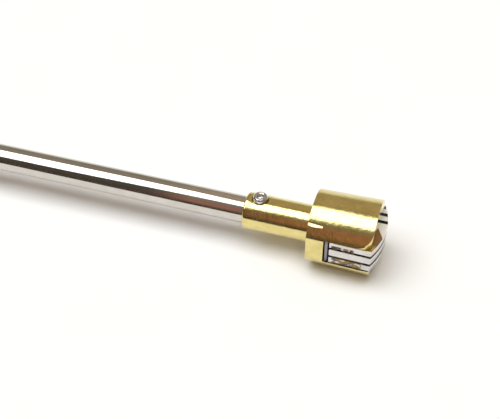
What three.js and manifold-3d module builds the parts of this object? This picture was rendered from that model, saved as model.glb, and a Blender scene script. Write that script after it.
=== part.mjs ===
// Telescoping magnetic pickup tool, in millimetres.
// +X runs along the tool towards the magnet, +Z is up and Y goes across.
// The origin is below the middle of the tool, on the surface that it lies on.
import * as THREE from 'three';
import { mergeVertices } from 'three/addons/utils/BufferGeometryUtils.js';
import Module from 'manifold-3d';

// Head: a collar on the rod, then a barrel that widens slightly towards its front.
const BARREL_LENGTH = 13.75;
const BARREL_REAR_RADIUS = 7.82;
const BARREL_FRONT_RADIUS = 8.15;
const BARREL_EDGE = 0.2;
const COLLAR_LENGTH = 15.1;
const COLLAR_RADIUS = 4.08;
const COLLAR_EDGE = 0.45;
const COLLAR_BORE_RADIUS = 3.1;
const COLLAR_BORE_DEPTH = 14;
const BORE_END_GAP = 0.3;

// Side flats, and the rounded front corners of the two prongs in plan: [length, depth].
// Both flats lean out towards the front.
const FLAT_REAR_OFFSET = 7.33;
const FLAT_FRONT_OFFSET = 7.57;
const UPPER_PRONG_CORNER = [4.0, 2.2];
const LOWER_PRONG_CORNER = [0.6, 0.6];

// Cross slot, and the stack of plates inside it. Heights are from the tool's axis.
const SLOT_START = 3.8;
const SLOT_HALF_HEIGHT = 3.0;
const KEEPER_START = 3.9;
const KEEPER_END = 4.95;
const STACK_START = 5.05;
const STACK_HALF_HEIGHT = 2.8;
const POLE_PLATE_THICKNESS = 1.4;
const MAGNET_PLATE_THICKNESS = 1.68;
const STACK_INSET = 0.2;
const STACK_NOSE = 1.75;
const STACK_CORNER_LEAD = 0.1;
const SHIM_RECESS = 0.6;
const SHIM_GAP = 0.05;
const GROOVE_POSITIONS = [2.2, 4.48, 6.7];
const GROOVE_WIDTH = 0.95;
const GROOVE_DEPTH = 0.5;
const GROOVE_LENGTH = 4;

// Pin through the lower prong and the stack, ending blind in the upper prong.
const PIN_POSITION = 9.4;
const PIN_RADIUS = 0.75;
const PIN_HOLE_RADIUS = 0.9;
const PIN_DEPTH_IN_PRONG = 1.6;
const PIN_BOTTOM_RECESS = 0.5;

// Locating notch in the back edge of the barrel.
const NOTCH_LENGTH = 3.1;
const NOTCH_REAR_WIDTH = 1.1;
const NOTCH_FRONT_WIDTH = 0.45;
const NOTCH_HEIGHT = 1.5;
const NOTCH_CENTRE_ANGLE = 43;
const NOTCH_FLOOR_ANGLE = 64;
const NOTCH_FLOOR_OFFSET = 7.18;

// Grub screw in the top of the collar.
const SCREW_FROM_COLLAR_END = 3.1;
const SCREW_RADIUS = 1.6;
const SCREW_HOLE_RADIUS = 1.72;
const SCREW_HOLE_BEVEL = 0.25;
const SCREW_TIP_HEIGHT = 3.1;
const SCREW_TOP_HEIGHT = 4.95;
const SCREW_TIP_RADIUS = 1.2;
const SCREW_BEVEL = 0.3;
const SOCKET_ACROSS_FLATS = 1.5;
const SOCKET_DEPTH = 0.85;
const SOCKET_SIDES = 6;

// Telescoping tubes: [inner radius, outer radius].
const FRONT_TUBE = [2.5, 3.0];
const MIDDLE_TUBE = [3.3, 3.8];
const REAR_TUBE = [4.1, 4.6];
const HANDLE_TUBE = [4.9, 5.6];
const SLIDE_CLEARANCE = 0.15;
const FIT_CLEARANCE = 0.1;

// Lengths along the tool.
const HANDLE_LENGTH = 150;
const LIP_LENGTH = 5;
const LIP_SPACE = 0.6;
const LIP_WALL = 0.4;
const LIP_FACE = 1.2;
const LIP_EDGE = 0.3;
const DRAWN_OUT = 75;
const BUSH_FLANGE = 2;
const BUSH_STEM = 5;
const BUSH_VENT_RADIUS = 1.0;
const REAR_TUBE_START = 29;
const MIDDLE_TUBE_START = 37;
const FRONT_TUBE_START = 119.6;
const TUBE_PLUG_LENGTH = 12;

// Handle: six-sided grip with a flat at the bottom, as tall as the head.
const AXIS_HEIGHT = BARREL_FRONT_RADIUS;
const GRIP_HALF_FLATS = AXIS_HEIGHT;
const GRIP_FLATS = 6;
const GRIP_CORNER_RADIUS = 2.2;
const GRIP_START = 6.5;
const GRIP_END = 138;
const GRIP_END_RADIUS = 7.4;
const GRIP_END_TAPER = 4;
const GRIP_GROOVE_RADIUS = 7.75;
const GRIP_GROOVE_WIDTH = 1.6;
const GRIP_GROOVE_SLOPE = 0.48;
const GRIP_GROOVE_PITCH = 8;
const GRIP_GROOVE_COUNT = 4;
const FERRULE_START = 138.4;
const FERRULE_REAR_RADIUS = 7.3;
const FERRULE_FRONT_RADIUS = 6.4;
const FERRULE_EDGE = 0.6;
const FERRULE_BAND = 2.4;
const HANDLE_TUBE_START = 6.5;
const CAP_RADIUS = 7.6;
const CAP_END = 6.2;
const CAP_EDGE = 1.6;
const CAP_STEM_RADIUS = 2.4;
const CAP_STEM_END = 15;
const END_PLUG_END = 18;

// Number of flat sides on the turned pieces, and of steps along curved outlines.
const TURNED_SIDES = 36;
const SMALL_SIDES = 24;
const OUTLINE_STEPS = 12;
const NOSE_STEPS = 24;
const GRIP_CORNER_STEPS = 3;

// How far a cutter runs past the face that it cuts, and where a rounded edge is drawn between its ends.
const OVERSHOOT = 1;
const EDGE_BOW = 0.3;

// Steps along the tool, counted from the back of the handle.
const REAR_LIP_START = HANDLE_LENGTH + LIP_SPACE;
const MIDDLE_LIP_START = REAR_LIP_START + LIP_LENGTH + LIP_SPACE;
const COLLAR_START = MIDDLE_LIP_START + LIP_LENGTH + DRAWN_OUT;
const BARREL_START = COLLAR_START + COLLAR_LENGTH;
const BARREL_FRONT = BARREL_START + BARREL_LENGTH;
const TOTAL_LENGTH = BARREL_FRONT + STACK_NOSE;

const wasm = await Module();
wasm.setup();

const tool = new THREE.Group();

const finish = {
  brass: { color: 0xb9923f, roughness: 0.18, metalness: 1 },
  polishedSteel: { color: 0xc9c5bf, roughness: 0.12, metalness: 1 },
  plate: { color: 0xd8d2ca, roughness: 0.22, metalness: 1 },
  darkSteel: { color: 0x45423f, roughness: 0.5, metalness: 0.8 },
  grip: { color: 0x202124, roughness: 0.65, metalness: 0 },
  plastic: { color: 0x2b2c2e, roughness: 0.5, metalness: 0 },
};

// Turns a closed geometry into a solid that can be cut and joined.
function toSolid(geometry) {
  const bare = geometry.clone();
  bare.deleteAttribute('normal');
  bare.deleteAttribute('uv');
  const merged = mergeVertices(bare, 1e-5);
  const mesh = new wasm.Mesh({
    numProp: 3,
    vertProperties: new Float32Array(merged.attributes.position.array),
    triVerts: new Uint32Array(merged.index.array),
  });
  return new wasm.Manifold(mesh);
}

function toGeometry(solid) {
  const mesh = solid.getMesh();
  const geometry = new THREE.BufferGeometry();
  geometry.setAttribute('position', new THREE.BufferAttribute(mesh.vertProperties, 3));
  geometry.setIndex(new THREE.BufferAttribute(mesh.triVerts, 1));
  geometry.computeVertexNormals();
  return geometry;
}

function cut(base, ...tools) {
  const solid = tools.reduce((left, piece) => left.subtract(toSolid(piece)), toSolid(base));
  return toGeometry(solid);
}

function common(base, other) {
  return toGeometry(toSolid(base).intersect(toSolid(other)));
}

// Places a named piece. Geometry runs from the back of the handle, with the tool's axis at zero height.
function place(name, geometry, look) {
  const mesh = new THREE.Mesh(geometry, new THREE.MeshStandardMaterial(finish[look]));
  mesh.name = name;
  mesh.position.set(-TOTAL_LENGTH / 2, 0, AXIS_HEIGHT);
  tool.add(mesh);
}

// A piece turned about the tool's axis. Each profile point is [distance along, radius].
function turned(profile, sides = TURNED_SIDES) {
  const points = profile.map(([along, radius]) => new THREE.Vector2(radius, along));
  const geometry = new THREE.LatheGeometry(points, sides);
  geometry.rotateZ(-Math.PI / 2);
  return geometry;
}

function tube(start, end, inner, outer) {
  return turned([[start, inner], [start, outer], [end, outer], [end, inner], [start, inner]]);
}

function rod(start, end, radius, sides = SMALL_SIDES) {
  return turned([[start, 0], [start, radius], [end, radius], [end, 0]], sides);
}

// An upright cylinder between two heights above the tool's axis.
function post(along, across, low, high, radius, sides = SMALL_SIDES, topRadius = radius) {
  const geometry = new THREE.CylinderGeometry(topRadius, radius, high - low, sides);
  geometry.rotateX(Math.PI / 2);
  geometry.translate(along, across, (low + high) / 2);
  return geometry;
}

function box(lowX, highX, lowY, highY, lowZ, highZ) {
  const geometry = new THREE.BoxGeometry(highX - lowX, highY - lowY, highZ - lowZ);
  geometry.translate((lowX + highX) / 2, (lowY + highY) / 2, (lowZ + highZ) / 2);
  return geometry;
}

// A slab between two heights, with its outline given in plan.
function slab(outline, low, high, curveSegments = OUTLINE_STEPS) {
  const settings = { depth: high - low, bevelEnabled: false, curveSegments };
  const geometry = new THREE.ExtrudeGeometry(outline, settings);
  geometry.translate(0, 0, low);
  return geometry;
}

// Distance from the axis to a side flat, at a place along the barrel.
function flatOffset(along) {
  const share = (along - BARREL_START) / BARREL_LENGTH;
  return THREE.MathUtils.lerp(FLAT_REAR_OFFSET, FLAT_FRONT_OFFSET, share);
}

// Plan of the head with its side flats and the rounded front corners of a prong.
function headPlan([cornerLength, cornerDepth]) {
  const back = COLLAR_START - OVERSHOOT;
  const bendStart = BARREL_FRONT - cornerLength;
  const outline = new THREE.Shape();
  outline.moveTo(back, -flatOffset(back));
  outline.lineTo(bendStart, -flatOffset(bendStart));
  outline.quadraticCurveTo(
    BARREL_FRONT, -FLAT_FRONT_OFFSET,
    BARREL_FRONT, cornerDepth - FLAT_FRONT_OFFSET,
  );
  outline.lineTo(BARREL_FRONT, FLAT_FRONT_OFFSET - cornerDepth);
  outline.quadraticCurveTo(
    BARREL_FRONT, FLAT_FRONT_OFFSET,
    bendStart, flatOffset(bendStart),
  );
  outline.lineTo(back, flatOffset(back));
  outline.closePath();
  return outline;
}

// The cutter for the locating notch, which narrows towards the front.
function barrelNotch() {
  const outline = new THREE.Shape();
  outline.moveTo(-OVERSHOOT, -NOTCH_REAR_WIDTH / 2);
  outline.lineTo(NOTCH_LENGTH, -NOTCH_FRONT_WIDTH / 2);
  outline.lineTo(NOTCH_LENGTH, NOTCH_FRONT_WIDTH / 2);
  outline.lineTo(-OVERSHOOT, NOTCH_REAR_WIDTH / 2);
  outline.closePath();
  const geometry = slab(outline, 0, NOTCH_HEIGHT);
  const across = Math.sin(THREE.MathUtils.degToRad(NOTCH_FLOOR_ANGLE - NOTCH_CENTRE_ANGLE));
  geometry.translate(0, -BARREL_REAR_RADIUS * across, NOTCH_FLOOR_OFFSET);
  geometry.rotateX(THREE.MathUtils.degToRad(90 - NOTCH_FLOOR_ANGLE));
  geometry.translate(BARREL_START, 0, 0);
  return geometry;
}

function headBody() {
  const outside = turned([
    [COLLAR_START, 0],
    [COLLAR_START, COLLAR_RADIUS - COLLAR_EDGE],
    [COLLAR_START + COLLAR_EDGE * EDGE_BOW, COLLAR_RADIUS - COLLAR_EDGE * EDGE_BOW],
    [COLLAR_START + COLLAR_EDGE, COLLAR_RADIUS],
    [BARREL_START, COLLAR_RADIUS],
    [BARREL_START, BARREL_REAR_RADIUS - BARREL_EDGE],
    [BARREL_START + BARREL_EDGE, BARREL_REAR_RADIUS],
    [BARREL_FRONT, BARREL_FRONT_RADIUS],
    [BARREL_FRONT, 0],
  ], TURNED_SIDES * 2);
  const reach = BARREL_FRONT_RADIUS + 1;
  const shared = SLOT_HALF_HEIGHT / 2;
  const upper = common(outside, slab(headPlan(UPPER_PRONG_CORNER), -shared, reach));
  const lower = common(outside, slab(headPlan(LOWER_PRONG_CORNER), -reach, shared));
  const whole = toGeometry(toSolid(upper).add(toSolid(lower)));
  const screwAt = COLLAR_START + SCREW_FROM_COLLAR_END;
  const bevelStart = COLLAR_RADIUS - SCREW_HOLE_BEVEL;
  const bevelRadius = SCREW_HOLE_RADIUS + OVERSHOOT;
  const slotEnd = BARREL_FRONT + OVERSHOOT;
  const pinHoleTop = SLOT_HALF_HEIGHT + PIN_DEPTH_IN_PRONG + FIT_CLEARANCE;
  return cut(
    whole,
    rod(COLLAR_START - OVERSHOOT, COLLAR_START + COLLAR_BORE_DEPTH, COLLAR_BORE_RADIUS, TURNED_SIDES),
    box(BARREL_START + SLOT_START, slotEnd, -reach, reach, -SLOT_HALF_HEIGHT, SLOT_HALF_HEIGHT),
    post(screwAt, 0, 0, COLLAR_RADIUS + OVERSHOOT, SCREW_HOLE_RADIUS),
    post(screwAt, 0, bevelStart, bevelStart + OVERSHOOT, SCREW_HOLE_RADIUS, SMALL_SIDES, bevelRadius),
    post(BARREL_START + PIN_POSITION, 0, -reach, pinHoleTop, PIN_HOLE_RADIUS),
    barrelNotch(),
  );
}

function grubScrew() {
  const screwAt = COLLAR_START + SCREW_FROM_COLLAR_END;
  const profile = [
    [0, SCREW_TIP_HEIGHT],
    [SCREW_TIP_RADIUS, SCREW_TIP_HEIGHT],
    [SCREW_RADIUS, SCREW_TIP_HEIGHT + SCREW_RADIUS - SCREW_TIP_RADIUS],
    [SCREW_RADIUS, SCREW_TOP_HEIGHT - SCREW_BEVEL],
    [SCREW_RADIUS - SCREW_BEVEL, SCREW_TOP_HEIGHT],
    [0, SCREW_TOP_HEIGHT],
  ];
  const body = new THREE.LatheGeometry(profile.map(([r, h]) => new THREE.Vector2(r, h)), SMALL_SIDES);
  body.rotateX(Math.PI / 2);
  body.translate(screwAt, 0, 0);
  const socketRadius = SOCKET_ACROSS_FLATS / 2 / Math.cos(Math.PI / SOCKET_SIDES);
  const socketFloor = SCREW_TOP_HEIGHT - SOCKET_DEPTH;
  const socket = post(screwAt, 0, socketFloor, SCREW_TOP_HEIGHT + OVERSHOOT, socketRadius, SOCKET_SIDES);
  return cut(body, socket);
}

// Plan of the stack: drafted sides and a bowed nose, drawn in by an inset.
function stackPlan(inset) {
  const back = BARREL_START + STACK_START;
  const corner = BARREL_FRONT + STACK_CORNER_LEAD;
  const halfWidth = flatOffset(corner) - STACK_INSET;
  const rise = STACK_NOSE - STACK_CORNER_LEAD;
  const noseRadius = (halfWidth * halfWidth + rise * rise) / (2 * rise);
  const centre = BARREL_FRONT + STACK_NOSE - noseRadius;
  const radius = noseRadius - inset;
  const half = halfWidth - inset;
  const sweep = Math.asin(half / radius);
  const outline = new THREE.Shape();
  outline.moveTo(back, -(flatOffset(back) - STACK_INSET - inset));
  outline.lineTo(centre + radius * Math.cos(sweep), -half);
  outline.absarc(centre, 0, radius, -sweep, sweep, false);
  outline.lineTo(back, flatOffset(back) - STACK_INSET - inset);
  outline.closePath();
  return outline;
}

function stackPinHole() {
  const reach = BARREL_FRONT_RADIUS;
  return post(BARREL_START + PIN_POSITION, 0, -reach, reach, PIN_HOLE_RADIUS);
}

function plate(low, high, inset = 0) {
  return cut(slab(stackPlan(inset), low, high, NOSE_STEPS), stackPinHole());
}

function upperPolePlate() {
  const top = STACK_HALF_HEIGHT;
  const grooves = GROOVE_POSITIONS.map((across) => box(
    TOTAL_LENGTH - GROOVE_LENGTH, TOTAL_LENGTH + OVERSHOOT,
    across - GROOVE_WIDTH / 2, across + GROOVE_WIDTH / 2,
    top - GROOVE_DEPTH, top + OVERSHOOT,
  ));
  return cut(plate(top - POLE_PLATE_THICKNESS, top), ...grooves);
}

function backKeeper() {
  const half = flatOffset(BARREL_START + KEEPER_START) - STACK_INSET;
  const top = STACK_HALF_HEIGHT + FIT_CLEARANCE;
  return box(BARREL_START + KEEPER_START, BARREL_START + KEEPER_END, -half, half, -top, top);
}

function retainingPin() {
  const low = PIN_BOTTOM_RECESS - BARREL_FRONT_RADIUS;
  const high = SLOT_HALF_HEIGHT + PIN_DEPTH_IN_PRONG;
  return post(BARREL_START + PIN_POSITION, 0, low, high, PIN_RADIUS);
}

function addHead() {
  const magnetHalf = MAGNET_PLATE_THICKNESS / 2;
  const shimLow = magnetHalf + SHIM_GAP;
  const shimHigh = STACK_HALF_HEIGHT - POLE_PLATE_THICKNESS - SHIM_GAP;
  place('head_body', headBody(), 'brass');
  place('grub_screw', grubScrew(), 'polishedSteel');
  place('pole_plate_upper', upperPolePlate(), 'plate');
  place('magnet_plate', plate(-magnetHalf, magnetHalf), 'plate');
  place('pole_plate_lower', plate(-STACK_HALF_HEIGHT, -STACK_HALF_HEIGHT + POLE_PLATE_THICKNESS), 'plate');
  place('shim_upper', plate(shimLow, shimHigh, SHIM_RECESS), 'darkSteel');
  place('shim_lower', plate(-shimHigh, -shimLow, SHIM_RECESS), 'darkSteel');
  place('back_keeper', backKeeper(), 'darkSteel');
  place('retaining_pin', retainingPin(), 'polishedSteel');
}

// A bush in the back end of a tube: its flange slides inside the next tube out.
function bush(tubeStart, [inner], [nextInner]) {
  const stem = inner - FIT_CLEARANCE;
  const flange = nextInner - SLIDE_CLEARANCE;
  const back = tubeStart - BUSH_FLANGE;
  const front = tubeStart - FIT_CLEARANCE;
  const end = tubeStart + BUSH_STEM;
  return turned([
    [back, BUSH_VENT_RADIUS],
    [back, flange],
    [front, flange],
    [front, stem],
    [end, stem],
    [end, BUSH_VENT_RADIUS],
    [back, BUSH_VENT_RADIUS],
  ]);
}

// A ferrule over the front end of a tube, with a face that guides the next tube in.
function lip(start, [, outer], [, nextOuter]) {
  const end = start + LIP_LENGTH;
  const skirt = outer + FIT_CLEARANCE;
  const outside = skirt + LIP_WALL;
  const guide = nextOuter + SLIDE_CLEARANCE;
  return turned([
    [start, skirt],
    [start, outside - LIP_EDGE],
    [start + LIP_EDGE, outside],
    [end - LIP_EDGE, outside],
    [end, outside - LIP_EDGE],
    [end, guide],
    [end - LIP_FACE, guide],
    [end - LIP_FACE, skirt],
    [start, skirt],
  ]);
}

function addTubes() {
  const tubeFront = COLLAR_START + COLLAR_BORE_DEPTH - BORE_END_GAP;
  const middleFront = MIDDLE_LIP_START + LIP_LENGTH - LIP_FACE - FIT_CLEARANCE;
  const rearFront = REAR_LIP_START + LIP_LENGTH - LIP_FACE - FIT_CLEARANCE;
  place('front_tube', tube(FRONT_TUBE_START, tubeFront, ...FRONT_TUBE), 'polishedSteel');
  const plugRadius = FRONT_TUBE[0] - FIT_CLEARANCE;
  place('front_tube_plug', rod(tubeFront - TUBE_PLUG_LENGTH, tubeFront, plugRadius), 'darkSteel');
  place('front_tube_bush', bush(FRONT_TUBE_START, FRONT_TUBE, MIDDLE_TUBE), 'brass');
  place('middle_tube', tube(MIDDLE_TUBE_START, middleFront, ...MIDDLE_TUBE), 'polishedSteel');
  place('middle_tube_lip', lip(MIDDLE_LIP_START, MIDDLE_TUBE, FRONT_TUBE), 'polishedSteel');
  place('middle_tube_bush', bush(MIDDLE_TUBE_START, MIDDLE_TUBE, REAR_TUBE), 'brass');
  place('rear_tube', tube(REAR_TUBE_START, rearFront, ...REAR_TUBE), 'polishedSteel');
  place('rear_tube_lip', lip(REAR_LIP_START, REAR_TUBE, MIDDLE_TUBE), 'polishedSteel');
  place('rear_tube_bush', bush(REAR_TUBE_START, REAR_TUBE, HANDLE_TUBE), 'brass');
}

// Six-sided outline across the tool, with rounded corners and a flat at the bottom.
function gripOutline() {
  const outline = new THREE.Shape();
  const halfTurn = Math.PI / GRIP_FLATS;
  const arcCentre = (GRIP_HALF_FLATS - GRIP_CORNER_RADIUS) / Math.cos(halfTurn);
  for (let corner = 0; corner < GRIP_FLATS; corner += 1) {
    const middle = corner * 2 * halfTurn;
    const x = arcCentre * Math.cos(middle);
    const y = arcCentre * Math.sin(middle);
    outline.absarc(x, y, GRIP_CORNER_RADIUS, middle - halfTurn, middle + halfTurn, false);
  }
  outline.closePath();
  return outline;
}

function handleGrip() {
  const length = GRIP_END - GRIP_START;
  const settings = { depth: length, bevelEnabled: false, curveSegments: GRIP_CORNER_STEPS };
  const bar = new THREE.ExtrudeGeometry(gripOutline(), settings);
  bar.rotateX(Math.PI / 2);
  bar.rotateZ(Math.PI / 2);
  bar.translate(GRIP_START, 0, 0);
  const cornerReach = GRIP_HALF_FLATS / Math.cos(Math.PI / GRIP_FLATS) + FIT_CLEARANCE;
  const profile = [
    [GRIP_START, HANDLE_TUBE[1] + FIT_CLEARANCE],
    [GRIP_START, GRIP_END_RADIUS],
    [GRIP_START + GRIP_END_TAPER, cornerReach],
  ];
  const groovesStart = GRIP_END - GRIP_END_TAPER - GRIP_GROOVE_PITCH * GRIP_GROOVE_COUNT;
  for (let index = 0; index < GRIP_GROOVE_COUNT; index += 1) {
    const at = groovesStart + index * GRIP_GROOVE_PITCH;
    profile.push([at, cornerReach]);
    profile.push([at + GRIP_GROOVE_SLOPE, GRIP_GROOVE_RADIUS]);
    profile.push([at + GRIP_GROOVE_WIDTH - GRIP_GROOVE_SLOPE, GRIP_GROOVE_RADIUS]);
    profile.push([at + GRIP_GROOVE_WIDTH, cornerReach]);
  }
  profile.push([GRIP_END - GRIP_END_TAPER, cornerReach]);
  profile.push([GRIP_END, GRIP_END_RADIUS]);
  profile.push([GRIP_END, HANDLE_TUBE[1] + FIT_CLEARANCE]);
  profile.push([GRIP_START, HANDLE_TUBE[1] + FIT_CLEARANCE]);
  return common(bar, turned(profile));
}

function handleFerrule() {
  const skirt = HANDLE_TUBE[1] + FIT_CLEARANCE;
  const guide = REAR_TUBE[1] + SLIDE_CLEARANCE;
  return turned([
    [FERRULE_START, skirt],
    [FERRULE_START, FERRULE_REAR_RADIUS],
    [FERRULE_START + FERRULE_BAND, FERRULE_REAR_RADIUS],
    [HANDLE_LENGTH - FERRULE_EDGE, FERRULE_FRONT_RADIUS],
    [HANDLE_LENGTH, FERRULE_FRONT_RADIUS - FERRULE_EDGE],
    [HANDLE_LENGTH, guide],
    [HANDLE_LENGTH - LIP_FACE, guide],
    [HANDLE_LENGTH - LIP_FACE, skirt],
    [FERRULE_START, skirt],
  ]);
}

function endCap() {
  return turned([
    [0, 0],
    [0, CAP_RADIUS - CAP_EDGE],
    [CAP_EDGE * EDGE_BOW, CAP_RADIUS - CAP_EDGE * EDGE_BOW],
    [CAP_EDGE, CAP_RADIUS],
    [CAP_END, CAP_RADIUS],
    [CAP_END, CAP_STEM_RADIUS],
    [CAP_STEM_END, CAP_STEM_RADIUS],
    [CAP_STEM_END, 0],
  ]);
}

function addHandle() {
  const tubeEnd = HANDLE_LENGTH - LIP_FACE - FIT_CLEARANCE;
  const plugStem = HANDLE_TUBE[0] - FIT_CLEARANCE;
  place('handle_tube', tube(HANDLE_TUBE_START, tubeEnd, ...HANDLE_TUBE), 'polishedSteel');
  place('handle_ferrule', handleFerrule(), 'polishedSteel');
  place('handle_grip', handleGrip(), 'grip');
  place('end_plug', tube(HANDLE_TUBE_START, END_PLUG_END, CAP_STEM_RADIUS + FIT_CLEARANCE, plugStem), 'brass');
  place('end_cap', endCap(), 'plastic');
}

addHead();
addTubes();
addHandle();

export default tool;
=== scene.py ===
"""Looks of the telescoping magnetic pickup tool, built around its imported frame."""
import math

import bmesh
import bpy
from mathutils import Matrix, Vector


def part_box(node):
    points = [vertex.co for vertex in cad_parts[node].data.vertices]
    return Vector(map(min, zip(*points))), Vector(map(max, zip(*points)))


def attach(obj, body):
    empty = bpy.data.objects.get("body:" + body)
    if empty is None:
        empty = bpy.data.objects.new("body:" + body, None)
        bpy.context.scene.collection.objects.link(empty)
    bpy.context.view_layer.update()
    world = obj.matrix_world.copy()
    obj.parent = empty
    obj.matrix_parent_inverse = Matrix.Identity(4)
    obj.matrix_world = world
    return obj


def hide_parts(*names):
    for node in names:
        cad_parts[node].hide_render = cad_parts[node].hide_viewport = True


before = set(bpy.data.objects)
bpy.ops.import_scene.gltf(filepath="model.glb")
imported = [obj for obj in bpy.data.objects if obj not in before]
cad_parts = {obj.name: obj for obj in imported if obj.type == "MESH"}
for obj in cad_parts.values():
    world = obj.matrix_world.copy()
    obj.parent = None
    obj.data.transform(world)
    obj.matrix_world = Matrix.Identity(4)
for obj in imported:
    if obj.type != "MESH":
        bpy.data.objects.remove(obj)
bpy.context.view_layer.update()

MM = 0.001

# Head, in millimetres. The barrel widens towards its front and its side flats lean out with it.
BARREL_LENGTH = 13.75
BARREL_REAR_RADIUS = 7.82
BARREL_FRONT_RADIUS = 8.15
COLLAR_LENGTH = 15.1
COLLAR_RADIUS = 4.08
COLLAR_EDGE = 0.45
HEAD_EDGE = 0.022
BORE_RADIUS = 3.1
BORE_DEPTH = 14.0
FLAT_REAR = 7.33
FLAT_FRONT = 7.57
SLOT_START = 3.8
SLOT_HALF = 3.0
PIN_POSITION = 9.4
PIN_HOLE = 0.9
PIN_HOLE_IN_PRONG = 1.7
PIN_HOLE_MARGIN = 0.3

# Rounded front corners of the prongs in plan, as (length along the flat, depth across the front).
UPPER_CORNER = (4.0, 2.2)
LOWER_CORNER = (0.6, 0.6)
CORNER_STEPS = 32

# Wedge-shaped notch in the back edge of the barrel. The angles are in degrees, up from the side.
NOTCH_LENGTH = 3.1
NOTCH_BACK_WIDTH = 1.1
NOTCH_FRONT_WIDTH = 0.45
NOTCH_HEIGHT = 1.5
NOTCH_FLOOR_ANGLE = 64
NOTCH_PLACE_ANGLE = 43
NOTCH_FLOOR_OFFSET = 7.18
NOTCH_ZONE = Vector((3.6, 3.0, 3.8))

# Stack of plates in the slot.
STACK_START = 5.05
STACK_HALF = 2.8
STACK_INSET = 0.2
STACK_NOSE = 1.75
NOSE_STEPS = 96
CORNER_LEAD = 0.1
POLE_THICKNESS = 1.4
MAGNET_HALF = 0.84
PLATE_EDGE = 0.06
GROOVES = (2.2, 4.48, 6.7)
GROOVE_WIDTH = 0.95
GROOVE_DEPTH = 0.5
GROOVE_LENGTH = 4.0
KEEPER_START = 4.08
KEEPER_END = 4.72
KEEPER_GAP = 0.3
KEEPER_EDGE = 0.08

# Grub screw and its hole. The heights are above the tool's axis.
SCREW_FROM_END = 3.1
SCREW_RADIUS = 1.6
SCREW_HOLE = 1.72
SCREW_HOLE_BEVEL = 0.22
SCREW_TIP = 3.1
SCREW_TOP = 4.95
SCREW_BEVEL = 0.3
SCREW_EDGE = 0.1
SOCKET_FLATS = 1.5
SOCKET_DEPTH = 0.85
SOCKET_MARGIN = 0.12
SOCKET_BEVEL = 0.15

# Tubes as (piece, body, node, inner radius, outer radius).
TUBES = (
    ("front_rod", "front_section", "front_tube", 2.5, 3.0),
    ("middle_rod", "middle_section", "middle_tube", 3.3, 3.8),
    ("rear_rod", "rear_section", "rear_tube", 4.1, 4.6),
)
TUBE_EDGE = 0.12

# Ferrules as (piece, body, node, radius of their own tube, radius of the tube that slides in it).
LIPS = (
    ("middle_rod_lip", "middle_section", "middle_tube_lip", 3.8, 3.0),
    ("rear_rod_lip", "rear_section", "rear_tube_lip", 4.6, 3.8),
)
LIP_SKIRT_GAP = 0.1
LIP_GUIDE_GAP = 0.15
LIP_WALL = 0.4
LIP_FACE = 1.2
LIP_EDGE = 0.32

# Front ferrule of the handle.
FERRULE_BORE = 5.7
FERRULE_REAR_RADIUS = 7.3
FERRULE_BAND = 2.4
FERRULE_FRONT_RADIUS = 6.4
FERRULE_SHOULDER = 0.6
FERRULE_NOSE_RADIUS = 5.8
FERRULE_GUIDE_RADIUS = 4.75
FERRULE_FACE = 1.2
FERRULE_EDGE = 0.35

# End cap, as (distance from its back face, radius) along its domed outside.
CAP_DOME = ((0, 0), (0, 6.2), (0.45, 7.15), (1.6, 7.6), (6.2, 7.6), (6.2, 2.4))
CAP_STEM_RADIUS = 2.4
CAP_EDGE = 0.4

# Six-sided grip with rounded corners, ring grooves and tapered ends.
GRIP_HALF_FLATS = BARREL_FRONT_RADIUS
GRIP_CORNER = 2.2
GRIP_BORE = 5.7
GRIP_SIDES = 180
GRIP_END_RADIUS = 7.4
GRIP_TAPER = 4.0
RING_RADIUS = 7.75
RING_WIDTH = 1.6
RING_FLOOR = 0.2 * RING_WIDTH
RING_WALL = 0.3 * RING_WIDTH
RING_PITCH = 8.0
RING_COUNT = 4
TAPER_EASE = 0.5
RING_EASE = 0.3
SIDE_EASE = 0.35
GRIP_EDGE = 0.25
EDGE_PLACES = (0, 0.06, 0.14, GRIP_EDGE)
FIRST_PLACE = 0.4
RING_STEP = 0.16
TAPER_STEP = 0.3
PLAIN_STEP = 1.5

# Places along the tool, from the frame.
AXIS_Z = BARREL_FRONT_RADIUS
HEAD_LOW = Vector(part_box("head_body")[0]) / MM
COLLAR_X = HEAD_LOW.x
BARREL_X = COLLAR_X + COLLAR_LENGTH
FRONT_X = BARREL_X + BARREL_LENGTH

# Every cutter reaches this far past the surface that it cuts.
OVERSHOOT = 1

TURNED_SIDES = 256
UPRIGHT_SIDES = 128
HOLE_SIDES = 96
FINE_STEPS = 6
WELD_DISTANCE = 0.0000002
FLAT_ANGLE = 0.05
EASED_ANGLE = 35
SHARP_ANGLE = 50


# ---------------------------------------------------------------- meshes

def from_bmesh(name, bm, sharp=30):
    """A smooth-shaded object from a bmesh, with hard edges above an angle in degrees."""
    bmesh.ops.recalc_face_normals(bm, faces=bm.faces)
    mesh = bpy.data.meshes.new(name)
    bm.to_mesh(mesh)
    bm.free()
    for polygon in mesh.polygons:
        polygon.use_smooth = True
    mesh.set_sharp_from_angle(angle=math.radians(sharp))
    obj = bpy.data.objects.new(name, mesh)
    bpy.context.scene.collection.objects.link(obj)
    return obj


def curve(start, pull, end, steps):
    """Points along a curve that leaves start towards pull and arrives at end from it."""
    points = []
    for step in range(steps + 1):
        t = step / steps
        points.append(tuple(start * (1 - t) ** 2 + pull * 2 * t * (1 - t) + end * t ** 2))
    return points


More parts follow.
